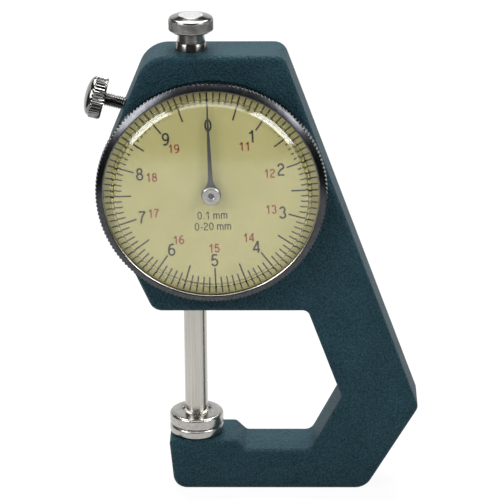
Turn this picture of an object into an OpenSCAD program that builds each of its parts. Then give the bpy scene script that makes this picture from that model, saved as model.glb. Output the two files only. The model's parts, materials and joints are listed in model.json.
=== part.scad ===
// Dial thickness gauge. A C-shaped casting carries a sprung spindle over a fixed anvil, a rack and pinion
// turn the pointer, and the bezel turns with its dial. The dial faces -Y. The origin lies on the base plane,
// under the spindle's axis and at the middle of the casting's thickness. All sizes are in millimetres.

/* [Casting] */
// Thickness of the casting, front to back
frame_t = 12; // [10.8:0.1:15]
// Height of the casting's top above its base
frame_h = 100; // [90:0.1:115]
// Depth of the upper body below the dial's axis
body_drop = 28.6; // [25.8:0.1:32]
// Height of the throat's floor
floor_z = 9.5; // [8:0.1:12]
// Height of the anvil's boss above the floor
boss_h = 2.3; // [1:0.1:4]
// Where the right slope meets the top, from the spindle's axis
top_right_x = 19.5; // [16:0.1:26]
// Lean of the column from the vertical, in degrees
column_lean = 20; // [17:0.1:22]
// Width of the column, square to its lean
column_w = 15; // [11:0.1:17]
// Height of the outer nose
nose_z = 19.5; // [16:0.1:24]
// Slope of the heel below the nose, from the vertical, in degrees
heel_lean = 30.5; // [24:0.1:36]
// Height of the throat's deepest point
throat_deep_z = 22; // [18:0.1:26]
// Slope of the throat's lower side, from the vertical, in degrees
throat_lean = 28; // [22:0.1:34]
// How far the casting's lobe stays inside the bezel
lobe_inset = 1.1; // [0:0.1:2]
// Lean of the shoulder above the lobe, from the vertical, in degrees
shoulder_lean = 22.5; // [18:0.1:27]
// Lean of the side below the lobe, from the vertical, in degrees
waist_lean = 24; // [19:0.1:28]
// How far the arm's end reaches past the contacts
arm_lap = 0.1; // [0:0.1:3]
// How far the arm's end leans in towards its base
arm_draft = 1.1; // [0:0.1:2]
// How far the boss reaches past the contacts on the throat's side
boss_lap = 2.8; // [1:0.1:5]
// Radius of the casting's soft edges
edge_r = 1.1; // [0.6:0.1:1.15]

/* [Spindle] */
// Diameter of the spindle
spindle_d = 5; // [4:0.1:6]
// Travel of the spindle
travel = 20; // [16:0.5:22]
// Running clearance round the spindle
slide_fit = 0.03; // [0.02:0.01:0.08]
// Diameter of both contact discs
contact_d = 11.8; // [9:0.1:14]
// Thickness of the upper contact
contact_t = 2.6; // [2.2:0.1:4]
// Height of the lower anvil above its boss
anvil_t = 2.05; // [1:0.05:4]
// Diameter of the anvil's stem
anvil_stem_d = 5; // [3:0.1:6]
// Length of the anvil's stem in the boss
anvil_stem_l = 6; // [3:0.1:8]
// Wall of the guide bushes
bush_wall = 0.9; // [0.6:0.05:1.5]
// Height of the upper bush above the casting
bush_collar = 1.6; // [0.5:0.1:3]
// Diameter of the screwed ends of the spindle
stud_d = 3; // [2:0.1:3.6]

/* [Lift knob] */
// Diameter of the lift knob
knob_d = 9.5; // [8:0.1:14]
// Height of the knob's grip
knob_h = 3.5; // [3:0.1:6]
// Diameter of the knob's neck
knob_neck_d = 5.7; // [5.2:0.1:7]
// Length of the knob's neck
knob_neck_l = 2.1; // [1:0.1:5]

/* [Lock screw] */
// Diameter of the lock screw's thread
lock_d = 3; // [2:0.1:4]
// Height above the dial's axis at which the lock screw meets the spindle
lock_rise = 13.6; // [11:0.1:16]
// Fall of the lock screw towards the spindle, in degrees
lock_tilt = 15; // [8:0.5:22]
// Thread showing between the casting and the head
lock_stand = 4.4; // [3:0.1:8]
// Diameter of the knurled head
lock_head_d = 9.2; // [7:0.1:12]
// Width of the head's knurled rim
lock_rim_w = 2.7; // [2:0.1:4]
// Height of the head's dome
lock_dome_h = 1.5; // [0.5:0.1:2]
// Number of knurls round the head
lock_knurls = 36; // [24:1:60]
// Gap between the pad and the spindle when unlocked
lock_gap = 0.5; // [0.3:0.05:1]
// Length of the pad ahead of the screw
pad_l = 3; // [2:0.1:5]

/* [Dial and bezel] */
// Depth of the dial's axis below the casting's top
dial_drop = 29; // [26:0.1:33]
// Diameter of the dial that shows inside the bezel
opening_d = 45.4; // [40:0.1:52]
// Width of the bezel round the dial
bezel_w = 1.9; // [1.5:0.1:3]
// Turn of the dial and the pointer at zero, counter-clockwise, in degrees
zero_turn = 2; // [-10:0.5:10]
// Number of serrations round the bezel
bezel_teeth = 168; // [90:1:180]
// Depth of a serration
serration = 0.35; // [0.15:0.05:0.5]
// Width of the lip that holds the crystal
lip_w = 0.45; // [0.3:0.05:0.6]
// Height of the bezel above the crystal's flange
lip_h = 1; // [0.6:0.1:2]
// Thickness of the flange on the ring that the bezel turns on
seat_flange_t = 0.65; // [0.4:0.05:1]
// Thickness of the dial
dial_t = 0.5; // [0.3:0.05:1]
// Diameter of the wire that keeps the bezel on its seat
wire_d = 0.6; // [0.5:0.05:0.7]
// Height of the crystal above the dial
crystal_h = 3.2; // [2.8:0.1:5]
// Wall of the crystal
crystal_wall = 0.9; // [0.6:0.05:1]

/* [Movement] */
// Travel for one turn of the pointer
travel_per_turn = 10; // [9:0.1:11]
// Teeth on the pinion
pinion_teeth = 16; // [14:1:18]
// Width of the pinion
pinion_w = 3.2; // [2:0.1:3.6]
// Width of the rack
rack_w = 3; // [2:0.1:3.4]
// Play between the rack's and the pinion's teeth
backlash = 0.05; // [0.03:0.01:0.08]
// Diameter of the pinion arbor's pivots
pivot_d = 1.2; // [0.8:0.1:1.4]
// Thickness of the movement's bridge
bridge_t = 1.2; // [0.8:0.1:1.4]
// Half the distance between the bridge's screws
bridge_reach = 10.5; // [9.5:0.1:14]
// Diameter of the guide pin
guide_pin_d = 1.5; // [1:0.1:1.8]
// How far the pointer's tip stays inside the dial's edge
pointer_short = 3.3; // [2.9:0.1:8]
// Diameter of the return spring's wire
spring_wire_d = 0.3; // [0.2:0.05:0.4]
// Outer diameter of the return spring
spring_d = 2; // [1.6:0.1:2.4]

/* [Hidden] */
$fn = 96;

casting_teal = [0.16, 0.23, 0.26];
bright_steel = [0.78, 0.77, 0.74];
dark_steel = [0.25, 0.25, 0.26];
brass = [0.78, 0.63, 0.33];
cream = [0.76, 0.73, 0.56];
clear = [0.85, 0.9, 0.92, 0.3];

// Gap between pieces that are pressed or screwed together
seat_gap = 0.01;
// Free space round a moving piece
free_gap = 0.4;
// Gap left between the contacts when the gauge is closed
touch_gap = 0.02;
// How far the tips of knurls and serrations stay inside their round blank
blank_skin = 0.02;
// How far a cut runs past the face that it opens
past = 1;
front_y = -frame_t / 2;

// Places that follow from the casting's top, the spindle and the pinion
spindle_r = spindle_d / 2;
pitch_r = travel_per_turn / (2 * PI);
rack_proud = 0.06;
dial_x = spindle_r + rack_proud + pitch_r;
dial_z = frame_h - dial_drop;
underside_z = dial_z - body_drop;
boss_z = floor_z + boss_h;
arm_reach = contact_d / 2 + arm_lap;
boss_reach = contact_d / 2 + boss_lap;
bush_d = spindle_d + 2 * bush_wall;
lock_z = dial_z + lock_rise;
bezel_r = opening_d / 2 + bezel_w;
lobe_r = bezel_r - lobe_inset;
pointer_l = opening_d / 2 - pointer_short;

// Heights along the spindle
anvil_top_z = boss_z + anvil_t;
zero_z = anvil_top_z + touch_gap;
contact_top_z = zero_z + contact_t;
bush_top_z = frame_h + bush_collar;
knob_z = bush_top_z + 0.15;
grip_z = knob_z + knob_neck_l;
tip_l = contact_t - 0.8;
stud_l = knob_neck_l + knob_h * 0.45;

// Rack and pinion, worked out from the travel for one turn
gear_module = travel_per_turn / (PI * pinion_teeth);
rack_pitch = travel_per_turn / pinion_teeth;
pressure_angle = 20;
rack_addendum = 0.8 * gear_module;
rack_dedendum = 1.2 * gear_module;
pinion_tip_r = pitch_r + gear_module;
pinion_root_r = pitch_r - 1.1 * gear_module;
rack_line_x = dial_x - pitch_r;
rack_tip_x = rack_line_x + rack_addendum;
rack_root_x = rack_line_x - rack_dedendum;
rack_seat_x = min(spindle_r - 0.75, rack_root_x - 0.3);
teeth_below = ceil(travel / rack_pitch) + 3;
teeth_above = 3;
rack_bottom_z = dial_z - teeth_below * rack_pitch;
rack_top_z = dial_z + teeth_above * rack_pitch;

// Channel that the spindle runs in, open to the front and closed by the dial
guide_pin_z = dial_z + 1.2;
channel_back_y = spindle_r + free_gap;
channel_left_x = -spindle_r - free_gap - 0.1;
channel_right_x = max(rack_tip_x, spindle_r) + free_gap;
channel_bottom_z = rack_bottom_z - 0.7;
channel_top_z = max(rack_top_z, guide_pin_z + guide_pin_d / 2) + travel + free_gap;
groove_depth = 1.3;

// Return spring, between a post low in the channel and the guide pin
post_d = 1.2;
post_z = channel_bottom_z + 2.6;
spring_y = -channel_back_y - 1.4;
spring_r = (spring_d - spring_wire_d) / 2;

// Levels in front of the casting, along the dial's axis
bezel_rear = 0.2;
bore_r = opening_d / 2 + lip_w;
wire_r = bore_r - 0.05;
wire_level = bezel_rear + 0.35 + wire_d / 2;
seat_neck_r = wire_r - wire_d / 2 - 0.1;
seat_flange_r = bore_r - 0.2;
seat_flange_level = wire_level + wire_d / 2 + 0.1;
seat_h = seat_flange_level + seat_flange_t;
seat_ring_w = 4.35;
seat_inner_r = bore_r - seat_ring_w;
seat_screw_r = (seat_inner_r + seat_neck_r) / 2;
seat_screw_d = 1.6;
seat_screw_head_h = 0.7;
screw_depth = 4;
screw_slot = 0.35;
snap_t = 0.6;
dial_rear = seat_h + 0.3 + snap_t;
dial_front = dial_rear + dial_t;
flange_t = 0.6;
shoulder_level = dial_front + flange_t;
bezel_front = shoulder_level + lip_h;
crystal_top = dial_front + crystal_h;
pocket_level = -frame_t / 2 - channel_back_y;
pinion_level = -frame_t / 2 - pinion_w / 2;
pivot_r = pivot_d / 2;
arbor_r = pivot_r + 0.4;
bearing_r = arbor_r + 0.5;
bearing_l = 1.7;
bearing_step = 0.1;
bridge_w = 7;
bridge_screw_d = 1.8;
bridge_head_d = 3.2;
bridge_head_h = 0.8;
spring_level = bridge_t + 0.45;
spring_strip = 0.5;
collet_r = 1.3;
coil_end_r = 5.9;
stud_pin_r = 0.6;
needle_t = 0.25;
eye_r = 2.1;
hub_r = 1.78;
hub_h = 0.8;
hub_top = dial_front + crystal_h - crystal_wall - 0.35;
needle_level = hub_top - hub_h - needle_t;
rivet_r = pivot_r + 0.5;
end_play = 0.05;

// Turns a shape so that its Z runs out of the dial, with the dial's axis at its origin
module on_dial_axis() {
    translate([dial_x, front_y, dial_z])
        rotate([90, 0, 0])
            children();
}

// Turns a shape so that its Z runs out along the lock screw, from the spindle's surface
module on_lock_axis() {
    translate([-spindle_r, 0, lock_z])
        rotate([0, lock_tilt - 90, 0])
            children();
}

// Tube between two levels
module ring(outer_r, inner_r, level, height) {
    translate([0, 0, level])
        difference() {
            cylinder(r = outer_r, h = height);
            translate([0, 0, -past])
                cylinder(r = inner_r, h = height + 2 * past);
        }
}

// Round shape with saw-tooth edges, for knurls and serrations
module toothed_disc(r, depth, count, height) {
    linear_extrude(height)
        polygon([for (i = [0 : 2 * count - 1])
            let (reach = r - blank_skin - (i % 2 == 0 ? 0 : depth), turn = i * 180 / count)
            reach * [cos(turn), sin(turn)]]);
}

// Rounded outline. Each corner is [x, z, radius], listed counter-clockwise. An inset moves every side
// inwards and keeps the arcs' centres, so rings of different insets have the same number of points.
function unit(v) = v / norm(v);
function turn_of(a, b) = a[0] * b[1] - a[1] * b[0];
function arc_points(before, corner, after, inset, step) =
    let (
        here = [corner[0], corner[1]],
        u = unit([before[0], before[1]] - here),
        v = unit([after[0], after[1]] - here),
        side = turn_of(u, v) < 0 ? 1 : -1,
        half = acos(u * v) / 2,
        centre = here + unit(u + v) * corner[2] / sin(half),
        first = side * [-u[1], u[0]],
        start = atan2(first[1], first[0]),
        sweep = side * (180 - 2 * half),
        parts = max(2, ceil(abs(sweep) / step)),
        r = corner[2] - side * inset
    )
    [for (k = [0 : parts]) centre + r * [cos(start + sweep * k / parts), sin(start + sweep * k / parts)]];
function rounded_outline(corners, inset, step) =
    let (n = len(corners))
    [for (i = [0 : n - 1])
        each arc_points(corners[(i + n - 1) % n], corners[i], corners[(i + 1) % n], inset, step)];

// Points of each corner's arc, as numbers in the outline
function corner_points(corners, step) =
    let (
        n = len(corners),
        counts = [for (i = [0 : n - 1])
            len(arc_points(corners[(i + n - 1) % n], corners[i], corners[(i + 1) % n], 0, step))]
    )
    [for (i = [0 : n - 1]) [for (k = [0 : counts[i] - 1]) total(counts, i) + k]];
function total(counts, end, i = 0) = i >= end ? 0 : counts[i] + total(counts, end, i + 1);

// Triangles of a fan, seen whole from its first point
function last_of(list) = list[len(list) - 1];
function fan(list) = [for (k = [1 : len(list) - 2]) [list[0], list[k], list[k + 1]]];

// Flat face of the C shape in four fans: the upper body, the column, the heel and the arm
function c_shape_face(c) = concat(
    fan(concat([last_of(c[3])], c[4], c[5], c[6], c[7])),
    fan(concat([last_of(c[2])], c[3], [last_of(c[7])], c[8])),
    fan(concat([last_of(c[1])], c[2], [last_of(c[8])], c[9])),
    fan(concat([last_of(c[0])], c[1], [last_of(c[9])], c[10], c[11], c[12],
        [for (k = [0 : len(c[0]) - 2]) c[0][k]])));

// Upright C-shaped plate with soft edges, centred on Y
module soft_plate(corners, thickness, soft) {
    step = 8;
    steps = 4;
    quarter = [for (k = [0 : steps]) k * 90 / steps];
    levels = concat(
        [for (a = quarter) [soft * (1 - sin(a)), thickness / 2 - soft * (1 - cos(a))]],
        [for (a = quarter) [soft * (1 - cos(a)), soft * (1 - sin(a)) - thickness / 2]]);
    rings = [for (l = levels) [for (p = rounded_outline(corners, l[0], step)) [p[0], l[1], p[1]]]];
    n = len(rings[0]);
    last = len(rings) - 1;
    face = c_shape_face(corner_points(corners, step));
    polyhedron(
        points = [for (r = rings) each r],
        faces = concat(
            face,
            [for (j = [0 : last - 1]) for (i = [0 : n - 1])
                [j * n + i, (j + 1) * n + i, (j + 1) * n + (i + 1) % n, j * n + (i + 1) % n]],
            [for (t = face) [last * n + t[0], last * n + t[2], last * n + t[1]]]),
        convexity = 6);
}

// Corners of the casting
nose_x = top_right_x + (frame_h - nose_z) * tan(column_lean);
heel_x = nose_x - nose_z * tan(heel_lean);
column_inset = column_w / cos(column_lean);
throat_top_x = top_right_x + (frame_h - underside_z) * tan(column_lean) - column_inset;
throat_deep_x = top_right_x + (frame_h - throat_deep_z) * tan(column_lean) - column_inset;
throat_floor_x = throat_deep_x - (throat_deep_z - floor_z) * tan(throat_lean);
shoulder_x = dial_x - (lobe_r - (frame_h - dial_z) * sin(shoulder_lean)) / cos(shoulder_lean);
waist_x = dial_x - (lobe_r - (dial_z - underside_z) * sin(waist_lean)) / cos(waist_lean);
lobe_half = (shoulder_lean + waist_lean) / 2;
lobe_turn = (shoulder_lean - waist_lean) / 2;
lobe_x = dial_x - lobe_r / cos(lobe_half) * cos(lobe_turn);
lobe_z = dial_z + lobe_r / cos(lobe_half) * sin(lobe_turn);
casting_corners = [
    [arm_draft - arm_reach, 0, 3],
    [heel_x, 0, 4],
    [nose_x, nose_z, 2],
    [top_right_x, frame_h, 3],
    [shoulder_x, frame_h, 6.5],
    [lobe_x, lobe_z, lobe_r],
    [waist_x, underside_z, 3],
    [throat_top_x, underside_z, 1.6],
    [throat_deep_x, throat_deep_z, 2],
    [throat_floor_x, floor_z, 2.2],
    [boss_reach + boss_z - floor_z, floor_z, 1.4],
    [boss_reach, boss_z, 1.3],
    [-arm_reach, boss_z, 1.2]];

// Distance along the lock screw from the spindle to the casting's shoulder
shoulder_normal = [-cos(shoulder_lean), sin(shoulder_lean)];
lock_start = [-spindle_r - dial_x, lock_z - dial_z];
lock_run = [-cos(lock_tilt), sin(lock_tilt)];
lock_wall = (lobe_r - shoulder_normal * lock_start) / (shoulder_normal * lock_run);
lock_r = lock_d / 2;
lock_head_level = lock_wall + lock_stand;
pad_back = pad_l + lock_gap;

// Powder-coated casting with the spindle's channel, the pinion's pocket and the bores of what it carries
module frame() {
    color(casting_teal)
        difference() {
            soft_plate(casting_corners, frame_t, edge_r);
            translate([channel_left_x, front_y - past, channel_bottom_z])
                cube([channel_right_x - channel_left_x, channel_back_y - front_y + past,
                    channel_top_z - channel_bottom_z]);
            guide_groove();
            translate([0, 0, underside_z - past])
                cylinder(d = bush_d + 2 * seat_gap, h = channel_bottom_z - underside_z + 2 * past);
            translate([0, 0, channel_top_z - past])
                cylinder(d = bush_d + 2 * seat_gap, h = frame_h - channel_top_z + 2 * past);
            translate([0, 0, boss_z - anvil_stem_l - seat_gap])
                cylinder(d = anvil_stem_d + 2 * seat_gap, h = anvil_stem_l + past);
            on_lock_axis()
                cylinder(r = lock_r + slide_fit, h = lock_wall + 3 * past);
            on_dial_axis() {
                translate([0, 0, pocket_level])
                    cylinder(r = bearing_r + 2.4, h = past - pocket_level);
                translate([0, 0, pocket_level - bearing_l])
                    cylinder(r = bearing_r + seat_gap, h = bearing_l + past);
                at_bridge_screws()
                    translate([0, 0, -screw_depth - free_gap])
                        cylinder(d = bridge_screw_d + 2 * seat_gap, h = screw_depth + free_gap + past);
                at_seat_screws()
                    translate([0, 0, -screw_depth - free_gap])
                        cylinder(d = seat_screw_d + 2 * seat_gap, h = screw_depth + free_gap + past);
            }
            spring_post_at(seat_gap, past);
        }
}

// Groove behind the channel that the guide pin runs in
module guide_groove() {
    half = guide_pin_d / 2 + 0.05;
    translate([-half, channel_back_y - past, guide_pin_z - guide_pin_d / 2 - free_gap])
        cube([2 * half, groove_depth + past, travel + guide_pin_d + 2 * free_gap]);
}

// Turned bush that guides the spindle through the casting's top
module upper_guide_bush() {
    bush_l = bush_top_z - channel_top_z;
    taper = bush_wall * 0.55;
    color(bright_steel)
        translate([0, 0, channel_top_z])
            difference() {
                rotate_extrude()
                    polygon([[0, 0], [bush_d / 2, 0], [bush_d / 2, bush_l - bush_collar + 0.15],
                        [bush_d / 2 - taper, bush_l - 0.1], [bush_d / 2 - taper - 0.1, bush_l], [0, bush_l]]);
                translate([0, 0, -past])
                    cylinder(r = spindle_r + slide_fit, h = bush_l + 2 * past);
            }
}

// Bush that guides the spindle through the underside
module lower_guide_bush() {
    color(brass)
        ring(bush_d / 2, spindle_r + slide_fit, underside_z, channel_bottom_z - underside_z);
}

// Fixed lower contact with its stem in the boss
module lower_anvil() {
    bevel = 0.3;
    color(bright_steel)
        rotate_extrude()
            polygon([[0, boss_z - anvil_stem_l], [anvil_stem_d / 2, boss_z - anvil_stem_l],
                [anvil_stem_d / 2, boss_z], [contact_d / 2 - bevel / 2, boss_z],
                [contact_d / 2, boss_z + bevel / 2], [contact_d / 2, anvil_top_z - bevel],
                [contact_d / 2 - bevel, anvil_top_z], [0, anvil_top_z]]);
}

// Positions of the bridge's screws
module at_bridge_screws() {
    for (side = [-1, 1])
        translate([side * bridge_reach, 0, 0])
            children();
}

// Bar across the pocket that carries the front end of the pinion's arbor
module movement_bridge() {
    color(brass)
        on_dial_axis()
            difference() {
                linear_extrude(bridge_t)
                    union() {
                        square([2 * bridge_reach, bridge_w], center = true);
                        for (side = [-1, 1])
                            translate([side * bridge_reach, 0])
                                circle(d = bridge_w);
                    }
                translate([0, 0, -past])
                    cylinder(r = bearing_r - 0.2 + seat_gap, h = bridge_t + 2 * past);
                at_bridge_screws()
                    translate([0, 0, -past])
                        cylinder(d = bridge_screw_d + 0.2, h = bridge_t + 2 * past);
            }
}

// Cheese-head screw with a slot, standing on the level Z = 0
module cheese_screw(d, head_d, head_h, depth) {
    difference() {
        union() {
            translate([0, 0, -depth])
                cylinder(d = d, h = depth + head_h / 2);
            cylinder(d = head_d, h = head_h);
        }
        translate([-head_d, -screw_slot / 2, head_h / 2])
            cube([2 * head_d, screw_slot, head_h]);
    }
}

// Screws of the movement's bridge
module bridge_screws() {
    color(bright_steel)
        on_dial_axis()
            at_bridge_screws()
                translate([0, 0, bridge_t])
                    cheese_screw(bridge_screw_d, bridge_head_d, bridge_head_h, bridge_t + screw_depth);
}

// Bush in the pocket's floor for the arbor's rear pivot
module rear_bearing() {
    color(brass)
        on_dial_axis()
            ring(bearing_r, pivot_r + slide_fit, pocket_level - bearing_l, bearing_l);
}

// Bush in the bridge for the arbor's front pivot
module front_bearing() {
    color(brass)
        on_dial_axis()
            ring(bearing_r - 0.2, pivot_r + slide_fit, -bearing_step, bridge_t + bearing_step);
}

// Positions of the seat ring's screws
module at_seat_screws() {
    for (turn = [60, 180, 300])
        rotate(turn)
            translate([seat_screw_r, 0, 0])
                children();
}

// Ring on the casting's face that the bezel turns on, with a flange ahead of the retaining wire
module bezel_seat_ring() {
    color(dark_steel)
        on_dial_axis()
            difference() {
                rotate_extrude()
                    polygon([[seat_inner_r, 0], [seat_neck_r, 0], [seat_neck_r, seat_flange_level],
                        [seat_flange_r, seat_flange_level], [seat_flange_r, seat_h], [seat_inner_r, seat_h]]);
                at_seat_screws()
                    seat_screw_body(0.03);
            }
}

// Countersunk screw body, from its tip in the casting to its flush head
module seat_screw_body(grow) {
    shank_r = seat_screw_d / 2 + grow;
    translate([0, 0, -screw_depth])
        cylinder(r = shank_r, h = screw_depth + seat_h);
    translate([0, 0, seat_h - seat_screw_head_h])
        cylinder(r1 = shank_r, r2 = shank_r + seat_screw_head_h, h = seat_screw_head_h + grow);
}

// Countersunk screws of the seat ring
module seat_ring_screws() {
    color(bright_steel)
        on_dial_axis()
            at_seat_screws()
                difference() {
                    seat_screw_body(0);
                    translate([-2 * seat_screw_d, -screw_slot / 2, seat_h - seat_screw_head_h / 2])
                        cube([4 * seat_screw_d, screw_slot, seat_screw_head_h]);
                }
}

// Stud on the bridge that holds the hairspring's outer end
module hairspring_stud() {
    color(brass)
        on_dial_axis()
            translate([coil_end_r + stud_pin_r + 0.1, 0, bridge_t])
                cylinder(r = stud_pin_r, h = spring_level - bridge_t + spring_strip + 0.1);
}

// Flat spiral spring that takes up the play of the teeth
module hairspring() {
    turns = 4;
    steps = 96;
    strip = 0.12;
    start_r = collet_r + 0.1;
    growth = (coil_end_r - strip - start_r) / steps;
    spiral = [for (i = [0 : steps]) [start_r + growth * i, turns * 360 * i / steps]];
    color(bright_steel)
        on_dial_axis()
            translate([0, 0, spring_level])
                linear_extrude(spring_strip)
                    polygon(concat(
                        [for (s = spiral) s[0] * [cos(s[1]), sin(s[1])]],
                        [for (i = [steps : -1 : 0])
                            (spiral[i][0] + strip) * [cos(spiral[i][1]), sin(spiral[i][1])]]));
}

// Post body across the channel, grown for its bore
module spring_post_at(grow, longer) {
    in_wall = 3.4;
    translate([channel_left_x - in_wall, spring_y, post_z])
        rotate([0, 90, 0])
            cylinder(r = post_d / 2 + grow, h = in_wall + longer);
}

// Post that anchors the return spring, pressed into the channel's side
module spring_post() {
    color(bright_steel)
        spring_post_at(0, spring_r + spring_wire_d - channel_left_x);
}

// Tube of a round wire along a path
module wire_along(path, wire_r, sides) {
    n = len(path);
    aside = [1, 1, 1];
    rings = [for (i = [0 : n - 1])
        let (
            along = unit(path[min(i + 1, n - 1)] - path[max(i - 1, 0)]),
            a = unit(cross(along, aside)),
            b = cross(along, a)
        )
        [for (k = [0 : sides - 1]) path[i] + wire_r * (a * cos(360 * k / sides) + b * sin(360 * k / sides))]];
    polyhedron(
        points = [for (r = rings) each r],
        faces = concat(
            [[for (k = [0 : sides - 1]) k]],
            [for (i = [0 : n - 2]) for (k = [0 : sides - 1])
                [i * sides + k, (i + 1) * sides + k, (i + 1) * sides + (k + 1) % sides,
                    i * sides + (k + 1) % sides]],
            [[for (k = [sides - 1 : -1 : 0]) (n - 1) * sides + k]]));
}

// Tension spring with a hook round the post and a hook round the guide pin
module return_spring() {
    turns = 16;
    steps = 10;
    wire_r = spring_wire_d / 2;
    post_loop_r = post_d / 2 + wire_r + 0.03;
    pin_loop_r = guide_pin_d / 2 + wire_r + 0.03;
    low = post_z + post_loop_r + 0.5;
    high = guide_pin_z - pin_loop_r - 0.5;
    post_hook = [for (a = [-150 : 30 : 90])
        [0, spring_y + post_loop_r * cos(a), post_z + post_loop_r * sin(a)]];
    coil = [for (i = [0 : turns * steps])
        [spring_r * sin(360 * i / steps), spring_y + spring_r * cos(360 * i / steps),
            low + (high - low) * i / (turns * steps)]];
    pin_hook = [for (a = [-90 : 30 : 150])
        [pin_loop_r * cos(a), spring_y, guide_pin_z + pin_loop_r * sin(a)]];
    color(bright_steel)
        wire_along(concat(post_hook, coil, pin_hook), wire_r, 5);
}

// Ground rod with a milled seat for the rack, a cross hole for the guide pin and a screwed stud at each end
module spindle() {
    color(bright_steel)
        difference() {
            union() {
                translate([0, 0, contact_top_z])
                    cylinder(r = spindle_r, h = knob_z - contact_top_z);
                translate([0, 0, contact_top_z - tip_l])
                    cylinder(d = stud_d, h = tip_l + past);
                translate([0, 0, knob_z - past])
                    cylinder(d = stud_d, h = stud_l + past);
            }
            translate([rack_seat_x, -spindle_r - past, rack_bottom_z - seat_gap])
                cube([spindle_d, spindle_d + 2 * past, rack_top_z - rack_bottom_z + 2 * seat_gap]);
            translate([0, 0, guide_pin_z])
                rotate([90, 0, 0])
                    cylinder(d = guide_pin_d + 2 * seat_gap, h = spindle_d + 2 * past, center = true);
        }
}

// Straight rack soldered on the spindle's seat
module rack() {
    half = rack_pitch / 4 - backlash / 4;
    at_root = half + rack_dedendum * tan(pressure_angle);
    at_tip = half - rack_addendum * tan(pressure_angle);
    color(brass)
        rotate([90, 0, 0])
            translate([0, 0, -rack_w / 2])
                linear_extrude(rack_w)
                    polygon(concat(
                        [[rack_seat_x + seat_gap, rack_top_z], [rack_seat_x + seat_gap, rack_bottom_z],
                            [rack_root_x, rack_bottom_z]],
                        [for (i = [-teeth_below : teeth_above - 1])
                            let (mid = dial_z + (i + 0.5) * rack_pitch)
                            each [[rack_root_x, mid - at_root], [rack_tip_x, mid - at_tip],
                                [rack_tip_x, mid + at_tip], [rack_root_x, mid + at_root]]],
                        [[rack_root_x, rack_top_z]]));
}

// Upper contact, screwed on the spindle's lower end, with a shallow groove round the spindle
module upper_contact() {
    bevel = 0.3;
    groove_r = spindle_r + 0.6;
    groove_depth = 0.35;
    color(bright_steel)
        difference() {
            rotate_extrude()
                polygon([[0, zero_z], [contact_d / 2 - bevel, zero_z], [contact_d / 2, zero_z + bevel],
                    [contact_d / 2, contact_top_z - bevel / 2], [contact_d / 2 - bevel / 2, contact_top_z],
                    [groove_r + groove_depth, contact_top_z], [groove_r, contact_top_z - groove_depth],
                    [spindle_r, contact_top_z - groove_depth], [spindle_r, contact_top_z],
                    [0, contact_top_z]]);
            translate([0, 0, contact_top_z - tip_l - seat_gap])
                cylinder(d = stud_d + 2 * seat_gap, h = tip_l + past);
        }
}

// Lift knob, screwed on the spindle's upper end
module lift_knob() {
    under = 0.45;
    crown = 0.65;
    crown_r = knob_d * 0.265;
    rim_top = grip_z + knob_h - crown;
    color(bright_steel)
        difference() {
            rotate_extrude()
                polygon([[0, knob_z], [knob_neck_d / 2, knob_z], [knob_neck_d / 2, grip_z],
                    [knob_d / 2 - 0.55, grip_z], [knob_d / 2, grip_z + under],
                    [knob_d / 2, rim_top - 0.25], [knob_d / 2 - 0.15, rim_top + 0.05],
                    [knob_d / 2 - 0.5, rim_top + 0.25], [crown_r + 0.15, grip_z + knob_h - 0.05],
                    [crown_r, grip_z + knob_h], [0, grip_z + knob_h]]);
            translate([0, 0, knob_z - past])
                cylinder(d = stud_d + 2 * seat_gap, h = stud_l + past + seat_gap);
        }
}

// Cross pin that runs in the guide groove and carries the return spring
module guide_pin() {
    rear_y = channel_back_y + groove_depth - 0.3;
    front_end_y = spring_y - spring_r;
    color(bright_steel)
        translate([0, rear_y, guide_pin_z])
            rotate([90, 0, 0])
                cylinder(d = guide_pin_d, h = rear_y - front_end_y);
}

// Involute gear outline with a tooth that points to -X, in mesh with the rack's space
base_r = pitch_r * cos(pressure_angle);
function involute_turn(r) = let (a = acos(min(1, base_r / r))) tan(a) * 180 / PI - a;
pitch_half_tooth = (rack_pitch - backlash) / 2 / pitch_r * 90 / PI;
function half_tooth(r) = pitch_half_tooth + involute_turn(pitch_r) - involute_turn(max(r, base_r));
function tooth_flank() = [pinion_root_r, for (k = [0 : 4]) base_r + (pinion_tip_r - base_r) * k / 4];
module pinion_outline() {
    flank = tooth_flank();
    polygon([for (i = [0 : pinion_teeth - 1])
        let (mid = 180 + i * 360 / pinion_teeth)
        each concat(
            [for (r = flank) r * [cos(mid - half_tooth(r)), sin(mid - half_tooth(r))]],
            [for (k = [len(flank) - 1 : -1 : 0])
                flank[k] * [cos(mid + half_tooth(flank[k])), sin(mid + half_tooth(flank[k]))]])]);
}

// Arbor with its pinion and two pivots
module pinion_arbor() {
    rear_end = pocket_level - bearing_l + 4 * end_play;
    front_end = hub_top - hub_h / 2;
    front_shoulder = -bearing_step - end_play;
    color(brass)
        on_dial_axis() {
            translate([0, 0, rear_end])
                cylinder(r = pivot_r, h = front_end - rear_end);
            translate([0, 0, pocket_level + end_play])
                cylinder(r = arbor_r, h = front_shoulder - pocket_level - end_play);
            translate([0, 0, pinion_level])
                linear_extrude(pinion_w)
                    pinion_outline();
        }
}

// Collet on the arbor inside the hairspring
module hairspring_collet() {
    color(brass)
        on_dial_axis()
            ring(collet_r, pivot_r + seat_gap, bridge_t + 0.15, spring_level - bridge_t + spring_strip);
}

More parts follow.
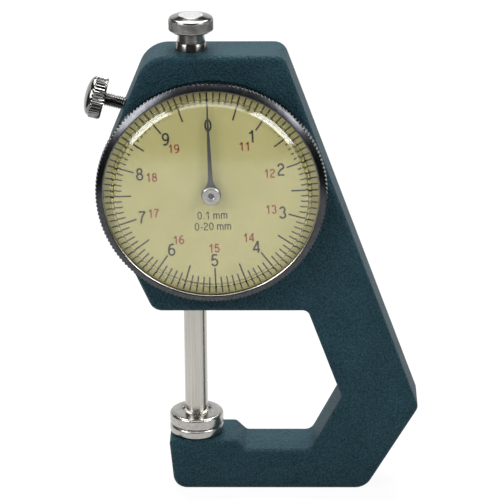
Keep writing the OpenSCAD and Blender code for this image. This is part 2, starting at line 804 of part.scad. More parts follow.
// Tapered needle that flares into a round eye
module pointer() {
    root_w = 0.56;
    tip_w = 0.13;
    flare = 0.75;
    span = pointer_l - 0.8 * eye_r;
    side = [for (k = [0, 0.02, 0.05, 0.1, 0.2, 0.99])
        [root_w * (1 - k) + tip_w * k + flare * exp(-k / 0.035), 0.8 * eye_r + span * k]];
    color(dark_steel)
        on_dial_axis()
            rotate(zero_turn)
                translate([0, 0, needle_level])
                    difference() {
                        linear_extrude(needle_t)
                            union() {
                                circle(r = eye_r);
                                polygon(concat(side, [[0, pointer_l]],
                                    [for (k = [len(side) - 1 : -1 : 0]) [-side[k][0], side[k][1]]]));
                            }
                        translate([0, 0, -past])
                            cylinder(r = rivet_r + seat_gap, h = needle_t + 2 * past);
                    }
}

// Turned hub that grips the needle and presses on the arbor
module pointer_hub() {
    cap = needle_level + needle_t;
    color(bright_steel)
        on_dial_axis()
            difference() {
                rotate_extrude()
                    polygon([[0, dial_front + 0.25], [rivet_r, dial_front + 0.25], [rivet_r, cap],
                        [hub_r, cap], [hub_r, hub_top - 0.3], [hub_r - 0.3, hub_top], [0, hub_top]]);
                translate([0, 0, dial_front - past])
                    cylinder(r = pivot_r + seat_gap, h = hub_top - dial_front + 2 * past);
            }
}

// Serrated bezel with a bore for the dial, a lip over the crystal and a groove for the retaining wire
module bezel() {
    rim_r = bezel_r;
    rim_rear = dial_rear - 0.4;
    rim_front = shoulder_level + lip_h * 0.25;
    bevel_r = rim_r - serration - 0.05;
    face_r = opening_d / 2 + 0.4;
    color(dark_steel)
        on_dial_axis()
            difference() {
                intersection() {
                    rotate_extrude()
                        polygon([[0, bezel_rear], [rim_r - 0.7, bezel_rear], [rim_r - 0.7, rim_rear - 0.3],
                            [rim_r, rim_rear], [rim_r, rim_front - 0.2], [bevel_r, rim_front],
                            [face_r, bezel_front], [opening_d / 2 + 0.2, bezel_front - 0.15],
                            [0, bezel_front - 0.15]]);
                    toothed_disc(rim_r, serration, bezel_teeth, bezel_front + past);
                }
                translate([0, 0, bezel_rear - past])
                    cylinder(r = bore_r, h = shoulder_level - bezel_rear + past);
                cylinder(r = opening_d / 2, h = bezel_front + past);
                wire_ring(wire_d / 2 + seat_gap);
            }
}

// Round wire at the retaining level
module wire_ring(r) {
    translate([0, 0, wire_level])
        rotate_extrude()
            translate([wire_r, 0])
                circle(r = r);
}

// Point at t on a curve from a to c that is drawn towards b
function bend(a, b, c, t) = (1 - t) * (1 - t) * a + 2 * t * (1 - t) * b + t * t * c;

// Moulded crystal with a flange under the bezel's lip, an upright wall, a rounded edge and a shallow dome
module crystal() {
    wall_r = opening_d / 2 - 1.4;
    inner_r = wall_r - crystal_wall;
    soft = 1.1;
    inner_soft = 0.4;
    rise = crystal_h * 0.14;
    edge = crystal_top - rise;
    inner_edge = edge - crystal_wall;
    steps = [0 : 0.125 : 1];
    outer = [for (t = steps) bend([wall_r, edge - soft], [wall_r, edge], [wall_r - soft, edge], t)];
    outer_dome = [for (t = steps) if (t > 0)
        [(wall_r - soft) * (1 - t), edge + rise * (1 - pow(1 - t, 2))]];
    inner_dome = [for (t = steps) if (t < 1) [(inner_r - inner_soft) * t, inner_edge + rise * (1 - t * t)]];
    inner = [for (t = steps)
        bend([inner_r - inner_soft, inner_edge], [inner_r, inner_edge],
            [inner_r, inner_edge - inner_soft], t)];
    color(clear)
        on_dial_axis()
            rotate_extrude()
                polygon(concat(
                    [[inner_r, dial_front], [bore_r - 0.05, dial_front], [bore_r - 0.05, shoulder_level],
                        [wall_r, shoulder_level]],
                    outer, outer_dome, inner_dome, inner));
}

// Round dial with a hole for the arbor
module dial_plate() {
    color(cream)
        on_dial_axis()
            ring(bore_r - 0.05, 1.5, dial_rear, dial_t);
}

// Split ring that holds the dial and the crystal in the bezel
module dial_snap_ring() {
    color(bright_steel)
        on_dial_axis()
            difference() {
                ring(bore_r - seat_gap, bore_r - 0.95, dial_rear - snap_t, snap_t);
                translate([-1, 0, 0])
                    cube([2, bore_r + past, dial_rear]);
            }
}

// Spring wire in the bezel's groove that catches behind the seat ring's flange
module bezel_retaining_wire() {
    color(bright_steel)
        on_dial_axis()
            difference() {
                wire_ring(wire_d / 2);
                translate([-1.5, -bore_r - past, 0])
                    cube([3, bore_r, 2 * wire_level]);
            }
}

// Brass pad ahead of the lock screw, cut square to the spindle, with a spigot in the screw's tip
module lock_pad() {
    color(brass)
        difference() {
            on_lock_axis() {
                cylinder(r = lock_r, h = pad_back);
                translate([0, 0, pad_back - past])
                    cylinder(r = lock_r * 0.4, h = past + 0.8);
            }
            translate([-spindle_r - lock_gap, -lock_d, lock_z - 2 * lock_d])
                cube([4 * lock_d, 2 * lock_d, 4 * lock_d]);
        }
}

// Lock screw with a knurled, domed head
module lock_screw() {
    head_r = lock_head_d / 2;
    knurl = 0.3;
    bevel = 0.4;
    dome = [for (a = [0 : 15 : 90]) a];
    color(bright_steel)
        on_lock_axis()
            difference() {
                union() {
                    translate([0, 0, pad_back + 0.05])
                        cylinder(r = lock_r, h = lock_head_level - pad_back);
                    translate([0, 0, lock_head_level])
                        intersection() {
                            rotate_extrude()
                                polygon(concat(
                                    [[0, 0], [head_r - bevel, 0], [head_r, bevel], [head_r, lock_rim_w]],
                                    [for (a = dome)
                                        [(head_r - bevel) * cos(a), lock_rim_w + lock_dome_h * sin(a)]]));
                            toothed_disc(head_r, knurl, lock_knurls, lock_rim_w + lock_dome_h);
                        }
                }
                translate([0, 0, pad_back - past])
                    cylinder(r = lock_r * 0.4 + 0.05, h = past + 0.9);
            }
}

frame();
upper_guide_bush();
lower_guide_bush();
lower_anvil();
movement_bridge();
bridge_screws();
rear_bearing();
front_bearing();
bezel_seat_ring();
seat_ring_screws();
hairspring_stud();
hairspring();
spring_post();
return_spring();
spindle();
rack();
upper_contact();
lift_knob();
guide_pin();
pinion_arbor();
hairspring_collet();
pointer();
pointer_hub();
bezel();
crystal();
dial_plate();
dial_snap_ring();
bezel_retaining_wire();
lock_pad();
lock_screw();
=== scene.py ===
import json
import math

import bmesh
import bpy
import numpy as np
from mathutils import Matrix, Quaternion, Vector


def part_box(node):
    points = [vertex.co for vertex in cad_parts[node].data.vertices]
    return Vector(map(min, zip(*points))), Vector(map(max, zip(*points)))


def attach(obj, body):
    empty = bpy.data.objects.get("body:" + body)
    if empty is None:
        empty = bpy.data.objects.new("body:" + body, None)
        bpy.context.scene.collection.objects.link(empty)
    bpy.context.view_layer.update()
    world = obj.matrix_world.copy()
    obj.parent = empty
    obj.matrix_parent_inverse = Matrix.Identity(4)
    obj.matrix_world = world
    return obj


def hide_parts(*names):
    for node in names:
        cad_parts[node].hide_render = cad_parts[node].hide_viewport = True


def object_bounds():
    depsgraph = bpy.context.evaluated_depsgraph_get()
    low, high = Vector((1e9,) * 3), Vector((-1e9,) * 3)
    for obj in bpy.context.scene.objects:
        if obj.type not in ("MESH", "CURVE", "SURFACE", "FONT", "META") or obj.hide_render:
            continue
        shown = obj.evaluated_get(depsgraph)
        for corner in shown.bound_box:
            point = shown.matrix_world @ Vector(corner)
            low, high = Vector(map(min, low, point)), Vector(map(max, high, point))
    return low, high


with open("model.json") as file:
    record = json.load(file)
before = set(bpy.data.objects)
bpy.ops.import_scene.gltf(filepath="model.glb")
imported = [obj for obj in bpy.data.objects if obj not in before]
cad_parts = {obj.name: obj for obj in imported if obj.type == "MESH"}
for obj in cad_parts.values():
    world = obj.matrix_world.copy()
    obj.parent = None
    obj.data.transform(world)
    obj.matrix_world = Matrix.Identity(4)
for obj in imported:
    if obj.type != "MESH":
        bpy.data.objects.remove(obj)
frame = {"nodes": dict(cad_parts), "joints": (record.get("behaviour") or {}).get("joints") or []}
nodes = frame["nodes"]
cad_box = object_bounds()


# The casting: one C-shaped aluminium piece with soft edges, sand cast and powder coated in dark teal.
# The coat is matt and finely grained. Its bores and channel are those of the solid.
MM = 0.001


def node_tools(tree):
    """For a node tree, a function that adds a node with its values and one that joins two sockets."""

    def add(kind, **values):
        made = tree.nodes.new(kind)
        for key, value in values.items():
            if hasattr(made, key):
                setattr(made, key, value)
            else:
                made.inputs[key.replace("_", " ")].default_value = value
        return made

    return add, tree.links.new


def new_finish(name):
    """A material with its Principled shader, and the functions that add and join its nodes."""
    finish = bpy.data.materials.new(name)
    finish.use_nodes = True
    add, join = node_tools(finish.node_tree)
    return finish, finish.node_tree.nodes["Principled BSDF"], add, join


def noise(add, join, where, **values):
    """A noise texture over these coordinates, as a value from 0 to 1."""
    texture = add("ShaderNodeTexNoise", **values)
    join(where, texture.inputs["Vector"])
    return texture.outputs["Fac"]


def two_tone(add, join, source, low, high, dark, light):
    """A colour ramp that goes from the dark colour at low to the light one at high."""
    ramp = add("ShaderNodeValToRGB")
    ramp.color_ramp.elements[0].position = low
    ramp.color_ramp.elements[1].position = high
    ramp.color_ramp.elements[0].color = (*dark, 1)
    ramp.color_ramp.elements[1].color = (*light, 1)
    join(source, ramp.inputs["Fac"])
    return ramp.outputs["Color"]


def spread(add, join, source, low, high):
    """A value from 0 to 1 spread over the range from low to high."""
    ranged = add("ShaderNodeMapRange", To_Min=low, To_Max=high)
    join(source, ranged.inputs["Value"])
    return ranged.outputs["Result"]


def dress(node, finish, split_angle=34):
    """A CAD node takes the finish, with its loose triangles welded and shaded smooth up to the split angle."""
    piece = nodes[node]
    piece.data.materials.clear()
    piece.data.materials.append(finish)
    weld = piece.modifiers.new("weld", "WELD")
    weld.merge_threshold = 0.001 * MM
    split = piece.modifiers.new("split", "EDGE_SPLIT")
    split.split_angle = math.radians(split_angle)


powder_coat, shader, add, join = new_finish("powder_coat")
where = add("ShaderNodeTexCoord").outputs["Object"]
grain = noise(add, join, where, Scale=2700, Detail=5, Roughness=0.65)
clouds = noise(add, join, where, Scale=160, Detail=3)
peel = noise(add, join, where, Scale=2300, Detail=1)
mottle = add("ShaderNodeMix", data_type="FLOAT", Factor=0.12)
join(grain, mottle.inputs["A"])
join(clouds, mottle.inputs["B"])
coat_colour = two_tone(add, join, mottle.outputs["Result"], 0.34, 0.7,
    dark=(0.0035, 0.0135, 0.0187), light=(0.0253, 0.0632, 0.0808))
join(coat_colour, shader.inputs["Base Color"])
join(spread(add, join, clouds, 0.4, 0.52), shader.inputs["Roughness"])
pimples = add("ShaderNodeBump", Strength=1.0, Distance=0.32 * MM)
join(peel, pimples.inputs["Height"])
join(pimples.outputs["Normal"], shader.inputs["Normal"])
shader.inputs["Specular IOR Level"].default_value = 0.05
dress("frame", powder_coat, 40)


# The guide bushes and the fixed anvil: turned pieces that are pressed into the casting. The top bush is
# plated and has a slightly conical collar, the lower one is brass. The anvil is steel, with fine lathe rings.
def uneven_finish(name, scale, detail, dark, light, rough, metallic=1.0, stretch=None):
    """A finish whose noise runs the colour from dark to light and the roughness over its range.

    The noise can be stretched by a factor for each axis.
    """
    finish, shader, add, join = new_finish(name)
    where = add("ShaderNodeTexCoord").outputs["Object"]
    if stretch:
        mapping = add("ShaderNodeMapping", Scale=stretch)
        join(where, mapping.inputs["Vector"])
        where = mapping.outputs["Vector"]
    uneven = noise(add, join, where, Scale=scale, Detail=detail)
    join(two_tone(add, join, uneven, 0.3, 0.7, dark, light), shader.inputs["Base Color"])
    join(spread(add, join, uneven, *rough), shader.inputs["Roughness"])
    shader.inputs["Metallic"].default_value = metallic
    return finish


def around(turns):
    """A row of equal steps in angle that goes once round."""
    return np.linspace(0, 2 * np.pi, turns, endpoint=False)[None, :]


def round_grid(radius, angle, level):
    """Grid of points round Z with these radii, angles and levels, all broadcast to one shape."""
    radius, angle, level = np.broadcast_arrays(radius, angle, level)
    return np.stack([radius * np.cos(angle), radius * np.sin(angle), level], axis=-1)


def turned(profile, turns):
    """Grid of a lathe shape: each [radius, level] of the profile is carried round Z in equal turns."""
    profile = np.asarray(profile, float)
    return round_grid(profile[:, :1], around(turns), profile[:, 1:])


def eased(profile, radius, parts=4):
    """A profile whose inner corners become quadratic curves that start and end a radius from the corner."""
    profile = np.asarray(profile, float)
    here, before, after = profile[1:-1], profile[:-2], profile[2:]
    back, ahead = before - here, after - here
    back_length = np.linalg.norm(back, axis=1, keepdims=True)
    ahead_length = np.linalg.norm(ahead, axis=1, keepdims=True)
    start = here + back / back_length * np.minimum(radius, 0.4 * back_length)
    end = here + ahead / ahead_length * np.minimum(radius, 0.4 * ahead_length)
    t = np.linspace(0, 1, parts)[None, :, None]
    curve = (1 - t) ** 2 * start[:, None] + 2 * t * (1 - t) * here[:, None] + t**2 * end[:, None]
    return np.concatenate([profile[:1], curve.reshape(-1, 2), profile[-1:]])


def grid_faces(rows, columns, first=0):
    """Quads of a grid whose columns close on themselves."""
    row = np.arange(rows - 1)[:, None] * columns
    column = np.arange(columns)[None, :]
    after = (column + 1) % columns
    quads = [row + column, row + after, row + columns + after, row + columns + column]
    return np.stack(quads, axis=-1).reshape(-1, 4) + first


def new_object(name, data):
    """An object in the scene for this data."""
    made = bpy.data.objects.new(name, data)
    bpy.context.scene.collection.objects.link(made)
    return made


def new_piece(name, grids, body, finish, sharp=34):
    """One object from closed grids in metres: doubles at the poles are merged and faces turned outwards."""
    points = np.concatenate([g.reshape(-1, 3) for g in grids])
    firsts = np.cumsum([0] + [g.shape[0] * g.shape[1] for g in grids[:-1]])
    faces = np.concatenate([grid_faces(g.shape[0], g.shape[1], f) for g, f in zip(grids, firsts)])
    mesh = bpy.data.meshes.new(name)
    mesh.from_pydata(points.tolist(), [], faces.tolist())
    cleaned = bmesh.new()
    cleaned.from_mesh(mesh)
    bmesh.ops.remove_doubles(cleaned, verts=cleaned.verts, dist=1e-7)
    bmesh.ops.dissolve_degenerate(cleaned, edges=cleaned.edges, dist=1e-8)
    bmesh.ops.recalc_face_normals(cleaned, faces=cleaned.faces)
    cleaned.to_mesh(mesh)
    cleaned.free()
    mesh.shade_smooth()
    mesh.set_sharp_from_angle(angle=math.radians(sharp))
    mesh.materials.append(finish)
    piece = new_object(name, mesh)
    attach(piece, body)
    return piece


ground_steel = uneven_finish("ground_steel", scale=1, detail=3, rough=(0.16, 0.3),
    dark=(0.36, 0.35, 0.328), light=(0.48, 0.468, 0.442), stretch=(900, 900, 5000))
turned_brass = uneven_finish("turned_brass", scale=700, detail=4, rough=(0.2, 0.38),
    dark=(0.52, 0.35, 0.12), light=(0.72, 0.53, 0.24))
bright_plate = uneven_finish("bright_plate", scale=900, detail=3, rough=(0.1, 0.2),
    dark=(0.18, 0.177, 0.171), light=(0.27, 0.266, 0.257))

dress("lower_guide_bush", turned_brass)
bush_low, bush_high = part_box("upper_guide_bush")
bush_r = bush_high.x
guide_r = 2.53 * MM
collar_h = 1.45 * MM
collar_taper = 0.34 * MM
bush_profile = [[guide_r, bush_low.z], [bush_r, bush_low.z], [bush_r, bush_high.z - collar_h],
    [bush_r - collar_taper, bush_high.z], [guide_r, bush_high.z], [guide_r, bush_low.z]]
bush_grid = turned(eased(bush_profile, 0.03 * MM), 128)
bush = new_piece("top_bush", [bush_grid], "body", bright_plate)
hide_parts("upper_guide_bush")

anvil_low, anvil_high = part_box("lower_anvil")
contact_low, contact_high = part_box("upper_contact")
contact_r = contact_high.x
anvil_face_z = anvil_high.z
anvil_seat_z = anvil_face_z - 2.05 * MM
stem_r = 2.5 * MM
lip = 0.32 * MM
anvil_profile = [[0, anvil_low.z], [stem_r, anvil_low.z], [stem_r, anvil_seat_z],
    [contact_r - lip, anvil_seat_z], [contact_r, anvil_seat_z + lip], [contact_r, anvil_face_z - lip],
    [contact_r - lip, anvil_face_z], [0, anvil_face_z]]
anvil_grid = turned(eased(anvil_profile, 0.18 * MM), 160)
anvil = new_piece("anvil", [anvil_grid], "body", ground_steel)
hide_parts("lower_anvil")


# The movement inside the casting: a brass bridge on two screws, the bearings of the arbor, the hairspring
# with its stud, and the tension spring on its post. The dial hides all of it.
blued_spring = uneven_finish("blued_spring", scale=600, detail=2, rough=(0.22, 0.36),
    dark=(0.10, 0.12, 0.20), light=(0.26, 0.28, 0.36))

for brass_node in ("movement_bridge", "rear_bearing", "front_bearing", "hairspring_stud"):
    dress(brass_node, turned_brass)
for steel_node in ("bridge_screws", "spring_post"):
    dress(steel_node, ground_steel)
for spring_node in ("hairspring", "return_spring"):
    dress(spring_node, blued_spring)


# The spindle: a centreless-ground steel rod with a brass rack on its flat and a cross pin that keeps it
# from turning. The grinding leaves fine lines along the rod.
drawn_steel = uneven_finish("drawn_steel", scale=1, detail=4, rough=(0.2, 0.34),
    dark=(0.42, 0.40, 0.36), light=(0.56, 0.54, 0.50), stretch=(3200, 3200, 60))

dress("spindle", drawn_steel)
dress("guide_pin", ground_steel)
dress("rack", turned_brass)


# The upper contact: a turned steel disc with a lapped face, screwed on the spindle's lower end.
# Its edges are broken, and a shallow groove runs round the spindle.
bore_r = 1.51 * MM
rod_r = 2.5 * MM
groove_r = 3.1 * MM
groove_depth = 0.35 * MM
groove_z = contact_high.z - groove_depth
contact_floor_z = contact_low.z + 0.8 * MM
contact_profile = [[0, contact_low.z], [contact_r - lip, contact_low.z], [contact_r, contact_low.z + lip],
    [contact_r, contact_high.z - lip], [contact_r - lip, contact_high.z],
    [groove_r + groove_depth, contact_high.z], [groove_r, groove_z], [rod_r, groove_z],
    [rod_r, contact_high.z], [bore_r, contact_high.z], [bore_r, contact_floor_z], [0, contact_floor_z]]
contact_grid = turned(eased(contact_profile, 0.16 * MM), 160)
contact = new_piece("contact", [contact_grid], "spindle_set", ground_steel)
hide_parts("upper_contact")


# The lift knob: a plated brass knob on the spindle's upper stud. Its rim has a fine diamond knurl between
# two bevels, its crown is turned flat and polished, and its neck goes on the line of the bush's collar.
# The crown's plate is a much lighter copy of the rim's plate, a painted reflection.
def triangle_wave(phase):
    """Rises from 0 at whole numbers to 1 half-way between them, and falls again."""
    return 1 - np.abs(2 * (phase % 1) - 1)


def face_middles(piece):
    """The middles of a piece's faces, one in each row."""
    middles = np.empty(3 * len(piece.data.polygons))
    piece.data.polygons.foreach_get("center", middles)
    return middles.reshape(-1, 3)


def refinish(piece, *choices):
    """Gives each further finish to the faces that are chosen for it. The rest keep the first finish."""
    finish_number = np.zeros(len(piece.data.polygons), int)
    for number, (finish, chosen) in enumerate(choices, 1):
        piece.data.materials.append(finish)
        finish_number[chosen] = number
    piece.data.polygons.foreach_set("material_index", finish_number)


# Painted reflection: the crown's plate is the knob's plate made several times lighter, standing in for the
# white the flat top mirrors.
crown_painted_sheen = uneven_finish("crown_painted_sheen", scale=1500, detail=3, rough=(0.08, 0.16),
    dark=(0.74, 0.735, 0.725), light=(0.88, 0.875, 0.865))

knob_low, knob_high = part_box("lift_knob")
knob_r = knob_high.x
neck_r = 2.97 * MM
neck_taper = 0.22 * MM
grip_z = knob_high.z - 3.5 * MM
rim_low_z = grip_z + 0.45 * MM
rim_high_z = knob_high.z - 0.9 * MM
rim_step = 0.06 * MM
stud_top_z = knob_high.z - 2 * MM
crown_r = 2.5 * MM
crown_chamfer = 0.15 * MM
knurl_pitch = 0.5 * MM
knurl_depth = 0.12 * MM
knurl_columns = 8
rim_rows = 33
knurls_round = round(2 * math.pi * knob_r / knurl_pitch)
rim_turns = knurls_round * knurl_columns
rim_angle = around(rim_turns)
rim_level = np.linspace(rim_low_z, rim_high_z, rim_rows)[:, None]
lead = (rim_level - rim_low_z) / knurl_pitch
knurl_phase = knurls_round * rim_angle / (2 * np.pi)
ridges = np.minimum(triangle_wave(knurl_phase + lead), triangle_wave(knurl_phase - lead))
rim_grid = round_grid(knob_r - knurl_depth * (1 - ridges), rim_angle, rim_level)
knob_under = eased([[0, stud_top_z], [bore_r, stud_top_z], [bore_r, knob_low.z], [neck_r, knob_low.z],
    [neck_r - neck_taper, grip_z], [knob_r - 0.6 * MM, grip_z],
    [knob_r - knurl_depth, rim_low_z - rim_step]], 0.12 * MM)
knob_crown = eased([[knob_r - knurl_depth, rim_high_z + rim_step], [knob_r - 0.15 * MM, knob_high.z - 0.6 * MM],
    [knob_r - 0.5 * MM, knob_high.z - 0.4 * MM], [crown_r + crown_chamfer, knob_high.z - 0.05 * MM],
    [crown_r, knob_high.z], [0, knob_high.z]], 0.2 * MM)
knob_grid = np.concatenate([turned(knob_under, rim_turns), rim_grid, turned(knob_crown, rim_turns)])
knob = new_piece("knob", [knob_grid], "spindle_set", bright_plate, 50)
margin = 0.02 * MM
face_z = face_middles(knob)[:, 2]
# The crown takes the lighter plate as a painted reflection. The faces below the grip take ground steel.
refinish(knob, (crown_painted_sheen, face_z > knob_high.z - margin), (ground_steel, face_z < grip_z - margin))
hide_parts("lift_knob")


# The bezel's seat ring on its three screws, and the arbor with its pinion and the hairspring's collet.
# The ring and the arbor are dark turned metal, the collet is brass.
dark_metal = uneven_finish("dark_metal", scale=1200, detail=4, rough=(0.17, 0.25),
    dark=(0.046, 0.0475, 0.051), light=(0.077, 0.08, 0.086))

dress("bezel_seat_ring", dark_metal)
dress("seat_ring_screws", ground_steel)
dress("pinion_arbor", dark_metal)
dress("hairspring_collet", turned_brass)


# The dial: a painted sheet disc, khaki-cream and faintly uneven, printed in black and red. A hundred
# divisions make one turn of 10 mm. The black figures are for the first turn, the red for the second.
dial_low, dial_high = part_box("dial_plate")
dial_x = (dial_low.x + dial_high.x) / 2
dial_z = (dial_low.z + dial_high.z) / 2
dial_front = -dial_low.y
print_turn = math.radians(2.0)
print_t = 0.02 * MM


def on_dial(local):
    """Places points whose Z runs out of the dial, with the dial's axis at their origin."""
    return np.stack([dial_x + local[..., 0], -local[..., 2], dial_z + local[..., 1]], axis=-1)


dial_paint = uneven_finish("dial_paint", scale=90, detail=3, rough=(0.5, 0.6), metallic=0.0,
    dark=(0.332, 0.303, 0.111), light=(0.385, 0.353, 0.146))
black_ink = uneven_finish("black_ink", scale=1800, detail=2, rough=(0.5, 0.65), metallic=0.0,
    dark=(0.006, 0.006, 0.005), light=(0.014, 0.014, 0.011))
red_ink = uneven_finish("red_ink", scale=1800, detail=2, rough=(0.5, 0.65), metallic=0.0,
    dark=(0.2, 0.033, 0.009), light=(0.26, 0.048, 0.014))
dress("dial_plate", dial_paint)
dress("dial_snap_ring", ground_steel)


def inked(path, width):
    """Solid of a printed stroke: a flat band of that width along a path on the dial, closed at its ends."""
    path = np.asarray(path, float)
    along = np.gradient(path, axis=-2)
    along /= np.linalg.norm(along, axis=-1, keepdims=True)
    aside = np.stack([-along[..., 1], along[..., 0]], axis=-1) * width / 2
    level = np.full(path.shape[:-1] + (1,), dial_front)
    left = np.concatenate([path + aside, level], axis=-1)
    right = np.concatenate([path - aside, level], axis=-1)
    raised = np.array([0, 0, print_t])
    ring = np.stack([left, right, right + raised, left + raised], axis=-2)
    ends = np.repeat(ring[..., [0, -1], :, :].mean(-2, keepdims=True), 4, axis=-2)
    return on_dial(np.concatenate([ends[..., :1, :, :], ring, ends[..., 1:, :, :]], axis=-3))


def turned_with_dial(points):
    """Turns points in the dial's plane by the dial's setting at zero."""
    cos, sin = math.cos(print_turn), math.sin(print_turn)
    return points @ np.array([[cos, sin], [-sin, cos]])


def divisions(numbers, inner_r, outer_r, width):
    """Radial strokes for these hundredths of a turn, clockwise from the top."""
    turn = np.pi / 2 - 2 * np.pi * np.asarray(numbers) / 100
    outwards = np.stack([np.cos(turn), np.sin(turn)], axis=-1)
    ends = outwards[:, None, :] * np.array([inner_r, outer_r])[None, :, None]
    return list(inked(turned_with_dial(ends), width))


def bow(x, y, half_w, half_h, start, end):
    """Part of an ellipse from one angle to another, in a figure one unit high."""
    angle = np.radians(np.linspace(start, end, 33))
    return np.stack([x + half_w * np.cos(angle), y + half_h * np.sin(angle)], axis=-1)


def bar(*ends):
    """Straight stroke between two points."""
    return np.array(ends, float)


six = [bow(0.285, 0.325, 0.215, 0.27, 0, 360), bow(0.34, 0.46, 0.27, 0.485, 62, 196)]
figure_box = np.array([0.57, 1.0])
figures = {
    "0": [bow(0.285, 0.5, 0.215, 0.445, 0, 360)],
    "1": [bar((0.36, 0), (0.36, 1)), bow(0.08, 1.02, 0.27, 0.27, -85, -12)],
    "2": [bow(0.28, 0.7, 0.205, 0.245, 172, -28), bow(0.62, 0.02, 0.555, 0.585, 106.5, 172),
        bar((0.04, 0.055), (0.53, 0.055))],
    "3": [bow(0.27, 0.72, 0.185, 0.225, 165, -75), bow(0.275, 0.285, 0.215, 0.23, 78, -165)],
    "4": [bar((0.415, 0), (0.415, 1)), bar((0.41, 0.97), (0.045, 0.29)), bar((0.0, 0.28), (0.56, 0.28))],
    "5": [bar((0.5, 0.945), (0.125, 0.945)), bar((0.16, 0.98), (0.085, 0.47)),
        bow(0.28, 0.33, 0.215, 0.275, 143, -160)],
    "6": six,
    "7": [bar((0.04, 0.945), (0.54, 0.945)), bow(0.88, 0.0, 0.68, 1.05, 118, 180)],
    "8": [bow(0.285, 0.735, 0.175, 0.21, 0, 360), bow(0.285, 0.285, 0.215, 0.235, 0, 360)],
    "9": [figure_box - stroke for stroke in six],
    "m": [bar((0.09, 0), (0.09, 0.72)), bow(0.255, 0.48, 0.165, 0.19, 180, 0), bar((0.42, 0), (0.42, 0.5)),
        bow(0.585, 0.48, 0.165, 0.19, 180, 0), bar((0.75, 0), (0.75, 0.5))],
    ".": [bar((0.08, 0.06), (0.2, 0.06))],
    "-": [bar((0.06, 0.36), (0.34, 0.36))],
}
figure_steps = {"m": 0.92, ".": 0.3, "-": 0.42, " ": 0.28}
digit_step = 0.66
figure_gap = 0.09


def lettering(words, height, at_x, at_y, weight):
    """Strokes of words that stand upright on the dial, with the middle of their box at the given point."""
    steps = [figure_steps.get(sign, digit_step) for sign in words]
    starts = np.cumsum([0] + steps[:-1])
    middle = np.array([(sum(steps) - figure_gap) / 2, 0.5])
    place = np.array([at_x, at_y])
    return [inked(turned_with_dial((stroke + [start, 0] - middle) * height + place), weight * height)
        for sign, start in zip(words, starts) for stroke in figures.get(sign, [])]


edge_r = 22.6 * MM
tenth_r, tenth_w = 19.0 * MM, 0.31 * MM
half_r, half_w = 16.9 * MM, 0.33 * MM
black_r, black_wider, black_h = 15.15 * MM, 0.55 * MM, 2.75 * MM
red_r, red_wider, red_h = 12.4 * MM, 0.75 * MM, 1.95 * MM
words_h = 1.75 * MM
black_print = divisions(range(100), tenth_r, edge_r, tenth_w)
black_print += divisions(range(0, 100, 5), half_r, edge_r, half_w)
red_print = []
for whole in range(10):
    turn = math.pi / 2 - 2 * math.pi * whole / 10
    across, up = math.cos(turn), math.sin(turn)
    black_at = black_r + black_wider * across**2
    red_at = red_r + red_wider * across**2
    black_print += lettering(str(whole), black_h, black_at * across, black_at * up, 0.14)
    if whole > 0:
        red_print += lettering(str(10 + whole), red_h, red_at * across, red_at * up, 0.16)
black_print += lettering("0.1 mm", words_h, 0, -4.9 * MM, 0.12)
black_print += lettering("0-20 mm", words_h, 0, -7.4 * MM, 0.12)
new_piece("dial_black_print", black_print, "bezel_set", black_ink)
new_piece("dial_red_print", red_print, "bezel_set", red_ink)


# The pointer: a thin needle pressed from sheet and painted dark, riveted under a turned bright hub with
# a dark side. It flares into a round eye. The hub is pressed on the arbor, whose end shows in its middle.
needle_paint = uneven_finish("needle_paint", scale=400, detail=3, rough=(0.3, 0.42), metallic=0.4,
    dark=(0.028, 0.029, 0.031), light=(0.06, 0.061, 0.064))

needle_low, needle_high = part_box("pointer")
needle_back = -needle_high.y
needle_front = -needle_low.y
needle_t = needle_front - needle_back
needle_tip = (needle_high.z - dial_z) / math.cos(print_turn)
eye_r = 2.1 * MM
rivet_r = 1.12 * MM
root_y = eye_r * 0.8
root_half, tip_half, point_half = 0.56 * MM, 0.13 * MM, 0.03 * MM
flare_half, flare_share = 0.75 * MM, 0.035
needle_rows = 60
along = np.linspace(0, 1, needle_rows)[:, None]
reach = root_y + (needle_tip - root_y) * along
half_width = root_half * (1 - along) + tip_half * along + flare_half * np.exp(-along / flare_share)
half_width[-1] = point_half
ridge = np.array([[-1, 0], [1, 0], [1, 0.55], [0, 1], [-1, 0.55]])
sides = len(ridge)
needle_local = np.stack([half_width * ridge[:, 0], np.broadcast_to(reach, (needle_rows, sides)),
    needle_back + needle_t * np.broadcast_to(ridge[:, 1], (needle_rows, sides))], axis=-1)
root, tip = needle_local[:1].mean(1, keepdims=True), needle_local[-1:].mean(1, keepdims=True)
needle_grid = np.concatenate([np.repeat(root, sides, 1), needle_local, np.repeat(tip, sides, 1)])
needle_grid[..., :2] = turned_with_dial(needle_grid[..., :2])
eye_profile = [[rivet_r, needle_back], [eye_r, needle_back], [eye_r, needle_front], [rivet_r, needle_front],
    [rivet_r, needle_back]]
eye_grid = turned(eased(eye_profile, 0.05 * MM), 96)
needle = new_piece("needle", [on_dial(needle_grid), on_dial(eye_grid)], "pointer_set", needle_paint)
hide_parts("pointer")


def from_dial_axis(points):
    """Distances of points from the dial's axis."""
    return np.hypot(points[:, 0] - dial_x, points[:, 2] - dial_z)


hub_low, hub_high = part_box("pointer_hub")
hub_r = 2.0 * MM
hub_bevel = 0.18 * MM
hub_top = -hub_low.y
hub_rear = -hub_high.y
sleeve_r = 1.1 * MM
arbor_r = 0.61 * MM
arbor_chamfer = 0.15 * MM
hub_profile = [[arbor_r, hub_rear], [sleeve_r, hub_rear], [sleeve_r, needle_front], [hub_r, needle_front],
    [hub_r, hub_top - hub_bevel], [hub_r - hub_bevel, hub_top], [arbor_r + arbor_chamfer, hub_top],
    [arbor_r, hub_top - arbor_chamfer], [arbor_r, hub_rear]]
hub_grid = on_dial(turned(eased(hub_profile, 0.06 * MM), 96))
hub = new_piece("hub", [hub_grid], "pointer_set", ground_steel)
refinish(hub, (dark_metal, from_dial_axis(face_middles(hub)) > hub_r - margin))
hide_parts("pointer_hub")


